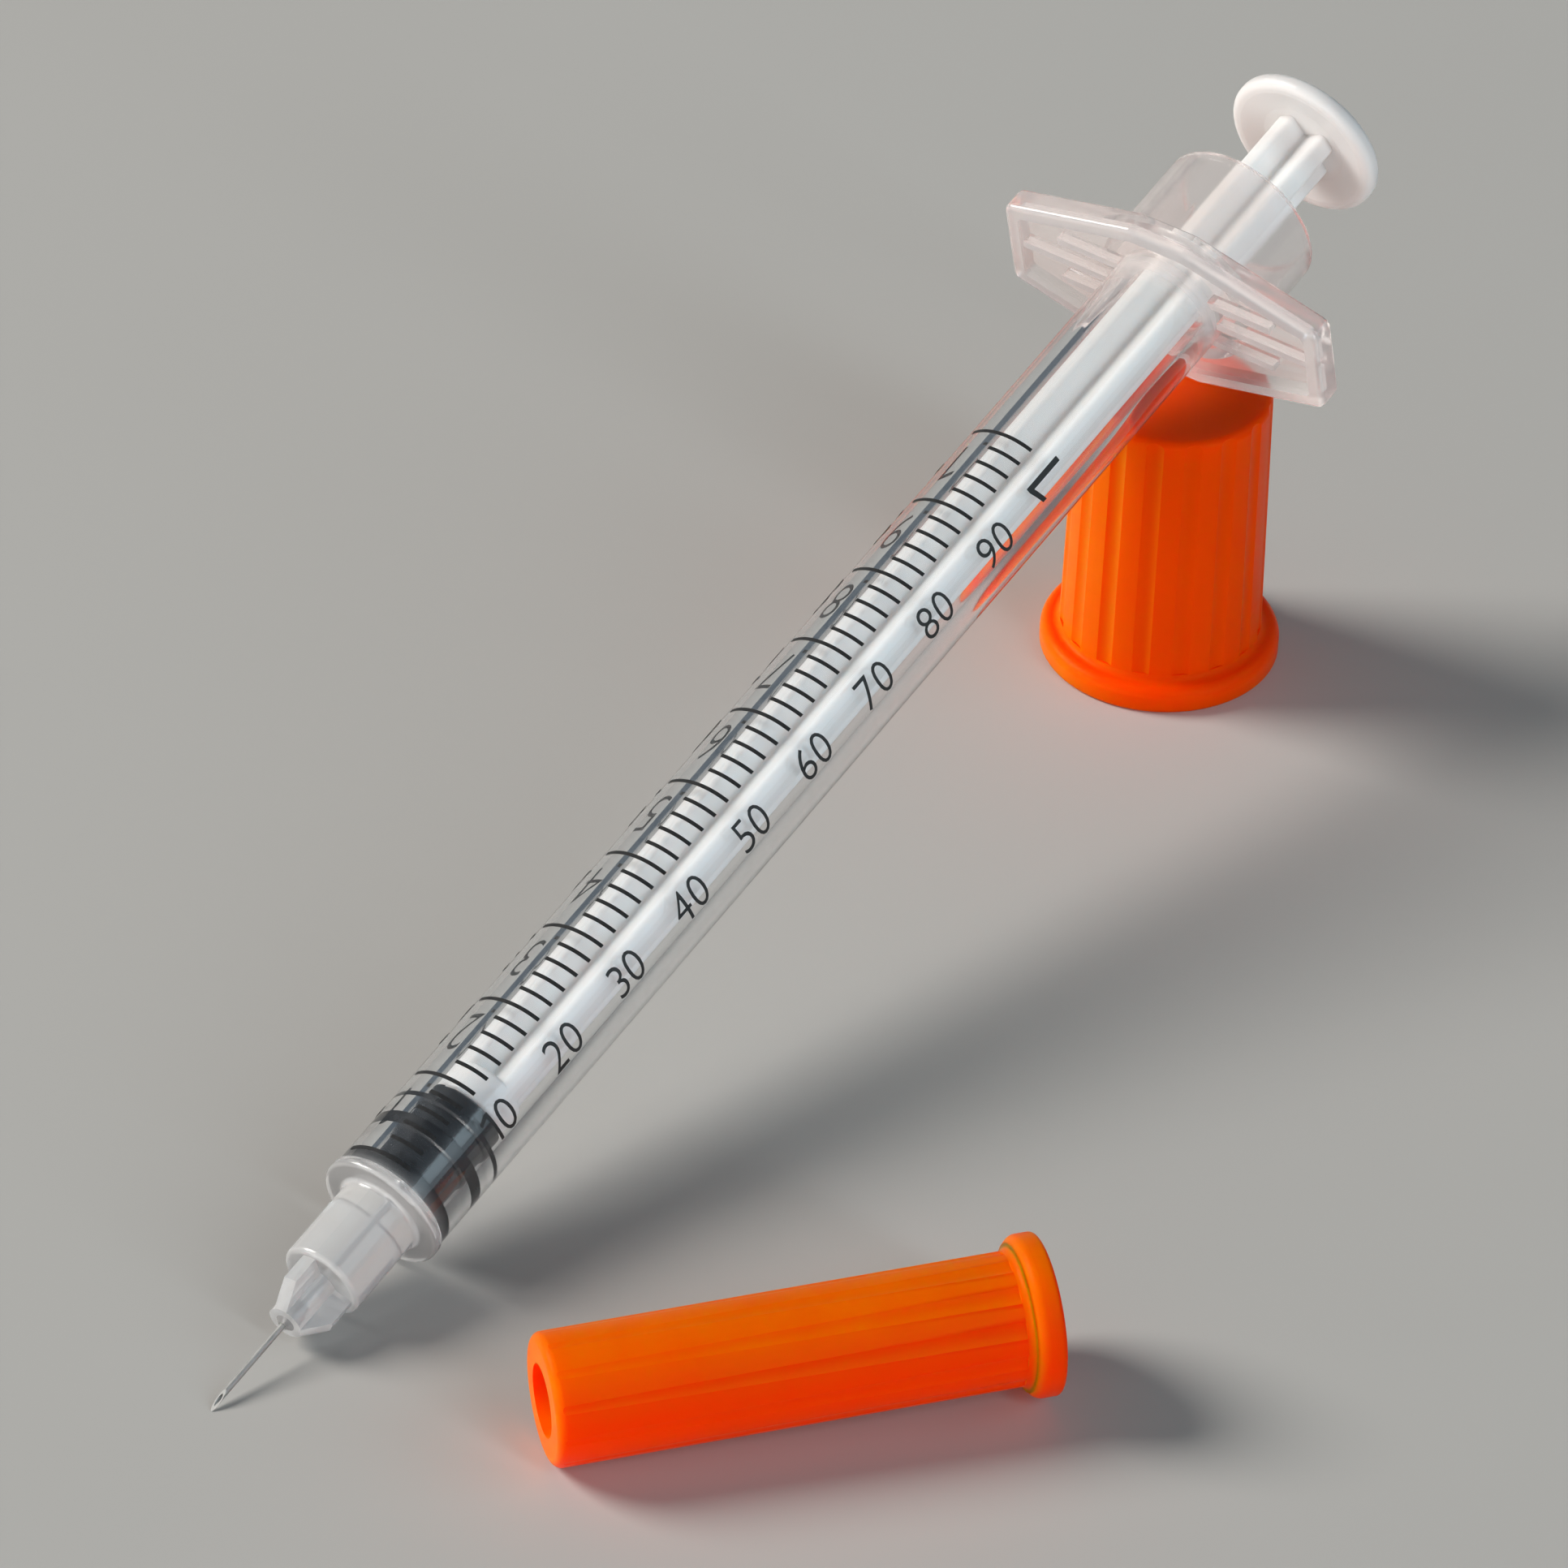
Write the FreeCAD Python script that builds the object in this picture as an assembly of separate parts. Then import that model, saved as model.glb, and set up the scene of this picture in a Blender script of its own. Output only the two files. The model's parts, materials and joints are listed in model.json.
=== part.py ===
import FreeCAD, Part
import math
import os

# One-millilitre insulin syringe with a fixed needle, and the two caps taken off it.
# The finger flange lies on the standing plunger cap, the needle's tip touches the surface, and the
# needle shield lies beside it. Millimetres. +Z is up, +X runs from the needle towards the thumb disc,
# and the origin is the centre of the plunger cap's mouth, on the surface.

Vector = FreeCAD.Vector

# Bore and scale: 57 mm of a 4.73 mm bore hold one millilitre
BORE_D = 4.73
BARREL_WALL = 1.05
BORE_PAST_ZERO = 0.45       # from the bore's end wall to the zero line
FLANGE_FROM_ZERO = 71.45    # from the zero line to the finger flange's front
RUNNING_FIT = 0.02          # radial clearance of what slides in the bore

# Needle
NEEDLE_D = 0.33
NEEDLE_BORE_D = 0.19
NEEDLE_OUT = 6.4            # length that stands out of the nose
NEEDLE_STOP = 0.5           # from the needle's inner end to the bore's end wall
BEVEL_DEG = 14.0
NEEDLE_FIT = 0.01           # radial gap between the needle and its channel
CHANNEL_D = 0.7             # passage from the needle's inner end to the bore

# Nose: a core with three tapered fins, and a glue well round the needle
NOSE_LENGTH = 3.0
NOSE_CORE_D = 2.0
FIN_COUNT = 3
FIN_REACH = 2.0             # from the axis to a fin's edge
FIN_THICKNESS = 0.8
FIN_TAPER = 1.35            # length over which the fins rise from the nose's front
FIN_TURN = 9.4              # turn of the upper fin to the left of upright
WELL_D = 1.1
WELL_DEPTH = 1.3
WELL_FLOOR_D = 0.6
BEAD_PROUD = 0.22           # glue bead's height over the nose
BEAD_TOP_D = 0.55

# Hub and front disc
HUB_D = 4.65
HUB_LENGTH = 5.2
HUB_EDGE = 0.3
DISC_PROUD = 0.135          # how far the disc stands out of the tube
DISC_THICKNESS = 0.6
DISC_EDGE = 0.22
END_WALL = 0.95             # from the disc's front face to the bore's end wall

# Finger flange: two tapered wings, hollowed from the front, with stiffening ribs
FLANGE_THICKNESS = 1.65
WING_REACH = 10.3           # from the axis to a wing's end
WING_END_HALF = 2.86        # half of the width of a wing's end
FLANGE_HALF = 5.25          # half of the width at the middle
FLANGE_FLAT = 1.8           # half of the straight length at the middle
CORNER_ROUND = 0.6
TRAY_DEPTH = 0.95
TRAY_RIM = 0.85
TRAY_CORNER = 0.3
FLANGE_EDGE = 0.3
RIB_THICKNESS = 0.45
RIB_DROP = 0.25             # how far the ribs stay below the rim
RIB_PITCH = 1.5
SHORT_RIB_REACH = 7.0

# Collar behind the flange, which the plunger cap fits
COLLAR_PROUD = 1.335        # how far the collar stands out of the tube
COLLAR_WALL = 0.75
COLLAR_LENGTH = 6.2
COLLAR_EDGE = 0.2
BORE_MOUTH_CHAMFER = 0.5

# Gasket: stations from its front face
GASKET_LENGTH = 6.25
GASKET_WAIST = 0.185        # how far the waist stays inside the bore's wall
GASKET_FRONT_GAP = 0.05     # between the gasket and the bore's end wall
RINGS = ((0.0, 1.0), (2.75, 3.75), (4.75, 5.25))
RING_EDGE = 0.16
SOCKET_NECK_D = 2.0
SOCKET_NECK_LENGTH = 1.3
SOCKET_HEAD_D = 2.9
SOCKET_HEAD_LENGTH = 1.9
SPIGOT_FIT = 0.05           # clearance of the rod's spigot in the gasket's socket

# Plunger rod: a cross of two plates with a round collar, a spigot and a thumb disc
ROD_GAP = 0.265             # between the rod and the bore's wall
ROD_PLATE = 1.25
ROD_TURN = 29.4             # turn of a rib to the left of upright
ROD_RIB_EDGE = 0.35
ROD_ROOT_EDGE = 0.2
ROD_COLLAR_LENGTH = 2.0
ROD_EDGE = 0.25
THUMB_GAP = 5.9             # from the collar's rim to the thumb disc when the plunger is home
THUMB_INSIDE_CAP = 0.13     # radial clearance of the thumb disc in the plunger cap
THUMB_THICKNESS = 1.1
THUMB_EDGE = 0.45
THUMB_RIM = 0.7             # from the thumb disc's rim to its dish
THUMB_DISH_DEPTH = 0.3
THUMB_RING_D = 5.2          # inner end of the dish, round the rod

# Plunger cap, standing on its mouth
CAP_HEIGHT = 17.4
CAP_WALL = 0.9              # at the mouth
CAP_DRAFT = 0.015           # loss of radius for each millimetre of height
CAP_FLANGE_PROUD = 1.02
CAP_FLANGE_THICKNESS = 1.5
CAP_END_WALL = 1.2
CAP_TOP_EDGE = 0.45
CAP_FIT = 0.03              # radial clearance on the collar
CAP_FLUTES = 16
CAP_FLUTE_DEPTH = 0.13

# Needle shield, lying on its side
SHIELD_LENGTH = 26.6
SHIELD_WALL = 1.175         # round the hub
SHIELD_FLANGE_PROUD = 0.745
SHIELD_FLANGE_THICKNESS = 1.5
SHIELD_END_EDGE = 0.5
SHIELD_FIT = 0.03           # radial clearance on the hub
SHIELD_GRIP = 5.0           # length of the bore that grips the hub
SHIELD_FIN_GAP = 0.1        # between the shield's inside and the nose's fins
SHIELD_DEPTH = 18.6
SHIELD_WEB = 1.2            # wall between the inside and the dimple in the closed end
DIMPLE_D = 3.9
DIMPLE_FLOOR_D = 3.1
SHIELD_FLUTES = 12
SHIELD_FLUTE_DEPTH = 0.12
SHIELD_FLUTE_FADE = 0.10    # how much of that depth is lost at the closed end

# Rounding of both caps' rims, and the cutter that shapes their flutes
RIM_EDGE = 0.6
RIM_FOOT_EDGE = 0.25
RIM_FILLET = 0.4
FLUTE_CUTTER_D = 2.4

# How the pieces lie
FLANGE_PAST_CAP = 1.4       # the flange's lower front edge, from the plunger cap's axis
SYRINGE_ASIDE = 1.1         # the syringe's axis, to the left of the plunger cap's axis
SEAT_GAP = 0.02             # left between the flange and the cap, and under the needle
SHIELD_END_X = -77.0        # centre of the shield's closed end, on the plan
SHIELD_END_Y = -14.15
SHIELD_HEADING_DEG = -39.05

# Stations along the syringe's axis, from the needle's tip
X_NOSE = NEEDLE_OUT
X_HUB = X_NOSE + NOSE_LENGTH
X_DISC = X_HUB + HUB_LENGTH
X_BORE = X_DISC + END_WALL
X_ZERO = X_BORE + BORE_PAST_ZERO
X_FLANGE = X_ZERO + FLANGE_FROM_ZERO
X_COLLAR = X_FLANGE + FLANGE_THICKNESS
X_RIM = X_COLLAR + COLLAR_LENGTH
X_THUMB = X_RIM + THUMB_GAP
X_GASKET = X_BORE + GASKET_FRONT_GAP
X_ROD = X_GASKET + GASKET_LENGTH + SPIGOT_FIT

# Radii that several pieces share
BORE_R = BORE_D / 2
BARREL_R = BORE_R + BARREL_WALL
COLLAR_R = BARREL_R + COLLAR_PROUD
HUB_R = HUB_D / 2
NEEDLE_R = NEEDLE_D / 2
ROD_R = BORE_R - ROD_GAP
CAP_BORE_R = COLLAR_R + CAP_FIT
CAP_R = CAP_BORE_R + CAP_WALL
THUMB_R = CAP_BORE_R - THUMB_INSIDE_CAP
SHIELD_GRIP_R = HUB_R + SHIELD_FIT
SHIELD_R = SHIELD_GRIP_R + SHIELD_WALL
SHIELD_INNER_R = FIN_REACH + SHIELD_FIN_GAP
PAST = 1.0                  # how far a cutting shape runs past what it cuts


def rounded_wire(corners):
    """Closed wire through (point, radius) corners: a radius above 0 rounds the corner with an arc."""
    spans = []
    for i, (point, radius) in enumerate(corners):
        before = (corners[i - 1][0] - point).normalize()
        after = (corners[(i + 1) % len(corners)][0] - point).normalize()
        if radius == 0:
            spans.append((point, None, point))
            continue
        half = before.getAngle(after) / 2
        reach = radius / math.tan(half)
        depth = radius / math.sin(half) - radius
        inward = (before + after).normalize()
        spans.append((point + before * reach, point + inward * depth, point + after * reach))
    edges = []
    for i, (start, middle, end) in enumerate(spans):
        if middle is not None:
            edges.append(Part.Arc(start, middle, end).toShape())
        edges.append(Part.makeLine(end, spans[(i + 1) % len(spans)][0]))
    return Part.Wire(edges)


def turned(profile, axis=Vector(1, 0, 0)):
    """Solid of revolution from (station, radius) or (station, radius, rounding) corners."""
    across = Vector(0, 0, 1) if axis.x else Vector(1, 0, 0)
    corners = []
    for station, radius, *rounding in profile:
        corners.append((axis * station + across * radius, rounding[0] if rounding else 0))
    return Part.Face(rounded_wire(corners)).revolve(Vector(), axis, 360)


def rounded_edges(solid, radius, wanted):
    """Rounds the solid's edges whose middle and direction satisfy wanted(middle, direction)."""
    chosen = []
    for edge in solid.Edges:
        start, end = edge.ParameterRange
        middle = edge.valueAt((start + end) / 2)
        if wanted(middle, edge.tangentAt((start + end) / 2)):
            chosen.append(edge)
    return solid.makeFillet(radius, chosen)


def flange_outline(inset, rounding):
    """The finger flange's outline, or one that lies inside it by inset, as a face on the YZ plane."""
    slope = math.atan2(FLANGE_HALF - WING_END_HALF, WING_REACH - FLANGE_FLAT)
    reach = WING_REACH - inset
    half = FLANGE_HALF - inset
    flat = FLANGE_FLAT - inset * math.tan(slope / 2)
    end_half = half - (reach - flat) * math.tan(slope)
    quarter = [(flat, half), (reach, end_half), (reach, -end_half), (flat, -half)]
    points = quarter + [(-y, -z) for y, z in quarter]
    corners = [(Vector(0, y, z), rounding if abs(y) == reach else 0) for y, z in points]
    return Part.Face(rounded_wire(corners))


def make_flange():
    """The two wings: a plate with a raised rim and three ribs in each wing's hollow."""
    plate = flange_outline(0, CORNER_ROUND).extrude(Vector(FLANGE_THICKNESS, 0, 0))
    plate = rounded_edges(plate, FLANGE_EDGE, lambda middle, along: abs(along.x) < 0.5)
    tray = flange_outline(TRAY_RIM, TRAY_CORNER).extrude(Vector(TRAY_DEPTH, 0, 0))
    ribs = []
    for side in (-1, 1):
        for row in (-1, 0, 1):
            reach = SHORT_RIB_REACH if row else WING_REACH - TRAY_RIM
            low_y = 0 if side > 0 else -reach
            low_z = row * RIB_PITCH - RIB_THICKNESS / 2
            height = TRAY_DEPTH - RIB_DROP
            ribs.append(Part.makeBox(height, reach, RIB_THICKNESS, Vector(RIB_DROP, low_y, low_z)))
    flange = plate.cut(tray.cut(Part.makeCompound(ribs)))
    flange.translate(Vector(X_FLANGE, 0, 0))
    return flange


def make_nose():
    """The nose: a round core with fins that rise from its front."""
    core_r = NOSE_CORE_D / 2
    rear = X_HUB + HUB_EDGE
    envelope = turned([
        (X_NOSE, 0),
        (X_NOSE, core_r),
        (X_NOSE + FIN_TAPER, FIN_REACH),
        (rear, FIN_REACH),
        (rear, 0),
    ])
    fins = []
    for i in range(FIN_COUNT):
        fin = Part.makeBox(rear - X_NOSE, FIN_THICKNESS, 2 * FIN_REACH, Vector(X_NOSE, -FIN_THICKNESS / 2, 0))
        fin.rotate(Vector(), Vector(1, 0, 0), 360 * i / FIN_COUNT - FIN_TURN)
        fins.append(fin)
    core = Part.makeCylinder(core_r, rear - X_NOSE, Vector(X_NOSE, 0, 0), Vector(1, 0, 0))
    return core.fuse(fins).common(envelope)


def make_barrel():
    """The clear moulding: nose, hub, front disc, tube, finger flange and collar in one piece."""
    body = turned([
        (X_HUB, 0),
        (X_HUB, HUB_R, HUB_EDGE),
        (X_DISC, HUB_R, HUB_EDGE),
        (X_DISC, BARREL_R + DISC_PROUD, DISC_EDGE),
        (X_DISC + DISC_THICKNESS, BARREL_R + DISC_PROUD),
        (X_DISC + DISC_THICKNESS, BARREL_R),
        (X_COLLAR - FLANGE_THICKNESS / 4, BARREL_R),
        (X_COLLAR - FLANGE_THICKNESS / 4, COLLAR_R),
        (X_RIM, COLLAR_R, COLLAR_EDGE),
        (X_RIM, 0),
    ])
    inside = turned([
        (X_BORE, 0),
        (X_BORE, BORE_R),
        (X_COLLAR - BORE_MOUTH_CHAMFER, BORE_R),
        (X_COLLAR, BORE_R + BORE_MOUTH_CHAMFER),
        (X_COLLAR, COLLAR_R - COLLAR_WALL),
        (X_RIM + PAST, COLLAR_R - COLLAR_WALL),
        (X_RIM + PAST, 0),
    ])
    channel_r = NEEDLE_R + NEEDLE_FIT
    passage = turned([
        (X_NOSE - PAST, 0),
        (X_NOSE - PAST, WELL_D / 2),
        (X_NOSE, WELL_D / 2),
        (X_NOSE + WELL_DEPTH, WELL_FLOOR_D / 2),
        (X_NOSE + WELL_DEPTH, channel_r),
        (X_BORE - NEEDLE_STOP, channel_r),
        (X_BORE - NEEDLE_STOP, CHANNEL_D / 2),
        (X_BORE + PAST, CHANNEL_D / 2),
        (X_BORE + PAST, 0),
    ])
    return body.fuse([make_nose(), make_flange()]).cut(inside).cut(passage).removeSplitter()


def make_needle():
    """Hollow steel needle with its bevel on top, so that the point is its lowest line."""
    length = X_BORE - NEEDLE_STOP
    tube = Part.makeCylinder(NEEDLE_R, length, Vector(), Vector(1, 0, 0))
    lumen = Part.makeCylinder(NEEDLE_BORE_D / 2, length + 2 * PAST, Vector(-PAST, 0, 0), Vector(1, 0, 0))
    bevel = Part.makeBox(2 * length, NEEDLE_D * 2, NEEDLE_D * 4, Vector(-length, -NEEDLE_D, 0))
    bevel.rotate(Vector(), Vector(0, 1, 0), -BEVEL_DEG)
    bevel.translate(Vector(0, 0, -NEEDLE_R))
    return tube.cut(lumen).cut(bevel)


def make_adhesive():
    """Glue bead that fills the nose's well and holds the needle."""
    return turned([
        (X_NOSE - BEAD_PROUD, NEEDLE_R),
        (X_NOSE - BEAD_PROUD, BEAD_TOP_D / 2),
        (X_NOSE, WELL_D / 2),
        (X_NOSE + WELL_DEPTH, WELL_FLOOR_D / 2),
        (X_NOSE + WELL_DEPTH, NEEDLE_R),
    ])


def make_gasket():
    """Rubber gasket with three sealing rings, and a stepped socket for the rod's spigot."""
    waist = BORE_R - GASKET_WAIST
    ring = BORE_R - RUNNING_FIT
    outer = [(X_GASKET, 0)]
    for start, end in RINGS:
        if start > 0:
            outer.append((X_GASKET + start, waist))
        outer += [(X_GASKET + start, ring, RING_EDGE), (X_GASKET + end, ring, RING_EDGE)]
        outer.append((X_GASKET + end, waist))
    outer += [(X_GASKET + GASKET_LENGTH, waist, RING_EDGE), (X_GASKET + GASKET_LENGTH, 0)]
    rear = X_GASKET + GASKET_LENGTH
    neck_end = rear - SOCKET_NECK_LENGTH
    socket = turned([
        (rear + PAST, 0),
        (rear + PAST, SOCKET_NECK_D / 2),
        (neck_end, SOCKET_NECK_D / 2),
        (neck_end, SOCKET_HEAD_D / 2),
        (neck_end - SOCKET_HEAD_LENGTH, SOCKET_HEAD_D / 2),
        (neck_end - SOCKET_HEAD_LENGTH, 0),
    ])
    return turned(outer).cut(socket)


def make_shaft():
    """The rod's shaft: two plates crossed on the axis, with rounded ribs and roots."""
    start = X_ROD + ROD_COLLAR_LENGTH / 2
    length = X_THUMB + THUMB_THICKNESS / 2 - start
    flat = Part.makeBox(length, 2 * ROD_R, ROD_PLATE, Vector(start, -ROD_R, -ROD_PLATE / 2))
    upright = Part.makeBox(length, ROD_PLATE, 2 * ROD_R, Vector(start, -ROD_PLATE / 2, -ROD_R))
    round_bar = Part.makeCylinder(ROD_R, length, Vector(start, 0, 0), Vector(1, 0, 0))
    shaft = flat.fuse(upright).common(round_bar).removeSplitter()

    def is_rib(middle, along):
        return abs(along.x) > 0.9 and math.hypot(middle.y, middle.z) > ROD_PLATE

    def is_root(middle, along):
        return abs(along.x) > 0.9 and math.hypot(middle.y, middle.z) < ROD_PLATE

    shaft = rounded_edges(shaft, ROD_RIB_EDGE, is_rib)
    shaft = rounded_edges(shaft, ROD_ROOT_EDGE, is_root)
    shaft.rotate(Vector(), Vector(1, 0, 0), -ROD_TURN)
    return shaft


def make_rod():
    """Plunger rod: spigot, round collar, cross-shaped shaft and dished thumb disc."""
    neck = SOCKET_NECK_D / 2 - SPIGOT_FIT
    head = SOCKET_HEAD_D / 2 - SPIGOT_FIT
    neck_end = X_GASKET + GASKET_LENGTH - SOCKET_NECK_LENGTH
    head_end = neck_end - SOCKET_HEAD_LENGTH + SPIGOT_FIT
    spigot = turned([
        (head_end, 0),
        (head_end, neck),
        (head_end + head - neck, head),
        (neck_end - SPIGOT_FIT, head),
        (neck_end - SPIGOT_FIT, neck),
        (X_ROD, neck),
        (X_ROD, ROD_R, ROD_EDGE),
        (X_ROD + ROD_COLLAR_LENGTH, ROD_R, ROD_EDGE),
        (X_ROD + ROD_COLLAR_LENGTH, 0),
    ])
    thumb = turned([
        (X_THUMB + THUMB_DISH_DEPTH, 0),
        (X_THUMB + THUMB_DISH_DEPTH, THUMB_RING_D / 2),
        (X_THUMB, THUMB_R - THUMB_RIM),
        (X_THUMB, THUMB_R, THUMB_EDGE),
        (X_THUMB + THUMB_THICKNESS, THUMB_R, THUMB_EDGE),
        (X_THUMB + THUMB_THICKNESS, 0),
    ])
    return make_shaft().fuse([spigot, thumb]).removeSplitter()


def flutes(count, body_r, foot, length, depth, fade, draft):
    """Cutters for shallow grooves along a cap's body, which follow its draft and may fade out."""
    cutter_r = FLUTE_CUTTER_D / 2
    lean = math.degrees(math.atan(draft - fade / length))
    cutters = []
    for i in range(count):
        cutter = Part.makeCylinder(cutter_r, length, Vector(), Vector(0, 0, 1))
        cutter.rotate(Vector(), Vector(0, 1, 0), -lean)
        cutter.translate(Vector(body_r - draft * foot - depth + cutter_r, 0, foot))
        cutter.rotate(Vector(), Vector(0, 0, 1), 360 * i / count)
        cutters.append(cutter)
    return Part.makeCompound(cutters)


def cap_body(height, base_r, draft, flange_proud, flange_thickness, top_edge):
    """Outside of a cap with its mouth at z = 0: a flange with a rounded rim, a fillet and a drafted body."""
    return turned([
        (0, 0),
        (0, base_r + flange_proud, RIM_FOOT_EDGE),
        (flange_thickness, base_r + flange_proud, RIM_EDGE),
        (flange_thickness, base_r - draft * flange_thickness, RIM_FILLET),
        (height, base_r - draft * height, top_edge),
        (height, 0),
    ], Vector(0, 0, 1))


def make_plunger_cap():
    """Cap for the plunger's end, standing on its open mouth."""
    body = cap_body(CAP_HEIGHT, CAP_R, CAP_DRAFT, CAP_FLANGE_PROUD, CAP_FLANGE_THICKNESS, CAP_TOP_EDGE)
    foot = CAP_FLANGE_THICKNESS + RIM_FILLET
    length = CAP_HEIGHT - foot + PAST
    grooves = flutes(CAP_FLUTES, CAP_R, foot, length, CAP_FLUTE_DEPTH, 0, CAP_DRAFT)
    bore = Part.makeCylinder(CAP_BORE_R, CAP_HEIGHT - CAP_END_WALL)
    return body.cut(grooves).cut(bore)


def make_shield():
    """Needle shield with its mouth at z = 0, stepped inside, and a deep dimple in its closed end."""
    body = cap_body(SHIELD_LENGTH, SHIELD_R, 0, SHIELD_FLANGE_PROUD, SHIELD_FLANGE_THICKNESS, SHIELD_END_EDGE)
    foot = SHIELD_FLANGE_THICKNESS + RIM_FILLET
    length = SHIELD_LENGTH - foot + PAST
    grooves = flutes(SHIELD_FLUTES, SHIELD_R, foot, length, SHIELD_FLUTE_DEPTH, SHIELD_FLUTE_FADE, 0)
    step = SHIELD_GRIP_R - SHIELD_INNER_R
    inside = turned([
        (-PAST, 0),
        (-PAST, SHIELD_GRIP_R),
        (SHIELD_GRIP, SHIELD_GRIP_R),
        (SHIELD_GRIP + step, SHIELD_INNER_R),
        (SHIELD_DEPTH, SHIELD_INNER_R),
        (SHIELD_DEPTH, 0),
    ], Vector(0, 0, 1))
    dimple = turned([
        (SHIELD_DEPTH + SHIELD_WEB, 0),
        (SHIELD_DEPTH + SHIELD_WEB, DIMPLE_FLOOR_D / 2),
        (SHIELD_LENGTH, DIMPLE_D / 2),
        (SHIELD_LENGTH + PAST, DIMPLE_D / 2),
        (SHIELD_LENGTH + PAST, 0),
    ], Vector(0, 0, 1))
    return body.cut(grooves).cut(inside).cut(dimple)


def syringe_tilt():
    """Angle at which the flange's rounded lower edge lies on the cap while the needle's tip is down."""
    along = X_FLANGE + FLANGE_EDGE
    below = FLANGE_HALF - FLANGE_EDGE - NEEDLE_R
    return math.asin((CAP_HEIGHT + FLANGE_EDGE) / math.hypot(along, below)) + math.atan2(below, along)


def lay_syringe(shape):
    """Puts a piece made along the X axis, with the needle's tip at 0, where the syringe lies."""
    tilt = syringe_tilt()
    shape.rotate(Vector(), Vector(0, 1, 0), -math.degrees(tilt))
    edge_x = (X_FLANGE + FLANGE_EDGE) * math.cos(tilt) + (FLANGE_HALF - FLANGE_EDGE) * math.sin(tilt)
    tip_x = FLANGE_PAST_CAP - edge_x
    shape.translate(Vector(tip_x, SYRINGE_ASIDE, NEEDLE_R * math.cos(tilt) + SEAT_GAP))
    return shape


def lay_shield(shape):
    """Lays the shield on its flange's rim and its closed end's edge, which lie on the surface."""
    apart = SHIELD_LENGTH - SHIELD_FLANGE_THICKNESS + RIM_EDGE - SHIELD_END_EDGE
    tilt = math.asin(SHIELD_FLANGE_PROUD / apart)
    heading = math.radians(SHIELD_HEADING_DEG)
    shape.translate(Vector(0, 0, -SHIELD_LENGTH))
    shape.rotate(Vector(), Vector(0, 1, 0), 90)
    shape.rotate(Vector(), Vector(0, 0, 1), 180)
    shape.rotate(Vector(), Vector(0, 1, 0), -math.degrees(tilt))
    shape.rotate(Vector(), Vector(0, 0, 1), math.degrees(heading))
    shape.translate(Vector(SHIELD_END_X, SHIELD_END_Y, -shape.optimalBoundingBox(False).ZMin))
    return shape


PIECES = {
    "barrel": lambda: lay_syringe(make_barrel()),
    "needle": lambda: lay_syringe(make_needle()),
    "needle_adhesive": lambda: lay_syringe(make_adhesive()),
    "gasket": lambda: lay_syringe(make_gasket()),
    "plunger_rod": lambda: lay_syringe(make_rod()),
    "plunger_cap": make_plunger_cap,
    "needle_shield": lambda: lay_shield(make_shield()),
}


def main():
    os.makedirs("parts", exist_ok=True)
    for name, make in PIECES.items():
        shape = make()
        if not shape.isValid() or len(shape.Solids) != 1:
            raise ValueError(f"{name} isn't one valid solid")
        shape.Solids[0].exportStep(f"parts/{name}.step")


main()
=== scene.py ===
import json
import math

import bmesh
import bpy
from mathutils import Matrix, Vector


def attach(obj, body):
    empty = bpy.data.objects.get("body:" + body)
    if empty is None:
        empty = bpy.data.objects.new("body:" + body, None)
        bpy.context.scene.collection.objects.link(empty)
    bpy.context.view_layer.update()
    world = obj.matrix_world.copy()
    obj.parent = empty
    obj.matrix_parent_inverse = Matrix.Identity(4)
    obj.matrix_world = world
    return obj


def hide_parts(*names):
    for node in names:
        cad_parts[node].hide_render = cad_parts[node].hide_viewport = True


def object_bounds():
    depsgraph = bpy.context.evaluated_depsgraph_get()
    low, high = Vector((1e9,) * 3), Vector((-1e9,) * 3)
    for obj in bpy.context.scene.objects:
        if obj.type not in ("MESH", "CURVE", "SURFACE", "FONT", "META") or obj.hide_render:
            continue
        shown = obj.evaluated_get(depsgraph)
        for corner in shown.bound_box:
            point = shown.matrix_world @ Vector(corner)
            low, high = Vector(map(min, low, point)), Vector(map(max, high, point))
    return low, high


# One-millilitre insulin syringe propped on its orange plunger cap, with its needle shield beside it.
# Everything is in metres in the CAD's frame: +Z up, +X from the needle towards the thumb disc.

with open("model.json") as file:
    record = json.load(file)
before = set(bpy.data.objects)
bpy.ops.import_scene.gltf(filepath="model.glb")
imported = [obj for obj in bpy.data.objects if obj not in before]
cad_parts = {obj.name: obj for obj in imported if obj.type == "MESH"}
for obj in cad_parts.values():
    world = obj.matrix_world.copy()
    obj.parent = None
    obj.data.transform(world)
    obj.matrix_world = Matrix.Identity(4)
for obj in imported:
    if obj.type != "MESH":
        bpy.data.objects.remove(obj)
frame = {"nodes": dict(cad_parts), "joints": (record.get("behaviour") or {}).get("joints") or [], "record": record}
cad_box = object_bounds()

MM = 0.001

# Camera, fitted to the photograph
CAMERA_AT = Vector((-0.426316, -0.264778, 0.370490))
CAMERA_FORWARD = Vector((0.658183, 0.447301, -0.605572))
CAMERA_RIGHT = Vector((0.582564, -0.812101, 0.033324))
CAMERA_DOWN = Vector((-0.476880, -0.374718, -0.795093))
CAMERA_LENS_MM = 255.49
SENSOR_MM = 36.0

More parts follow.
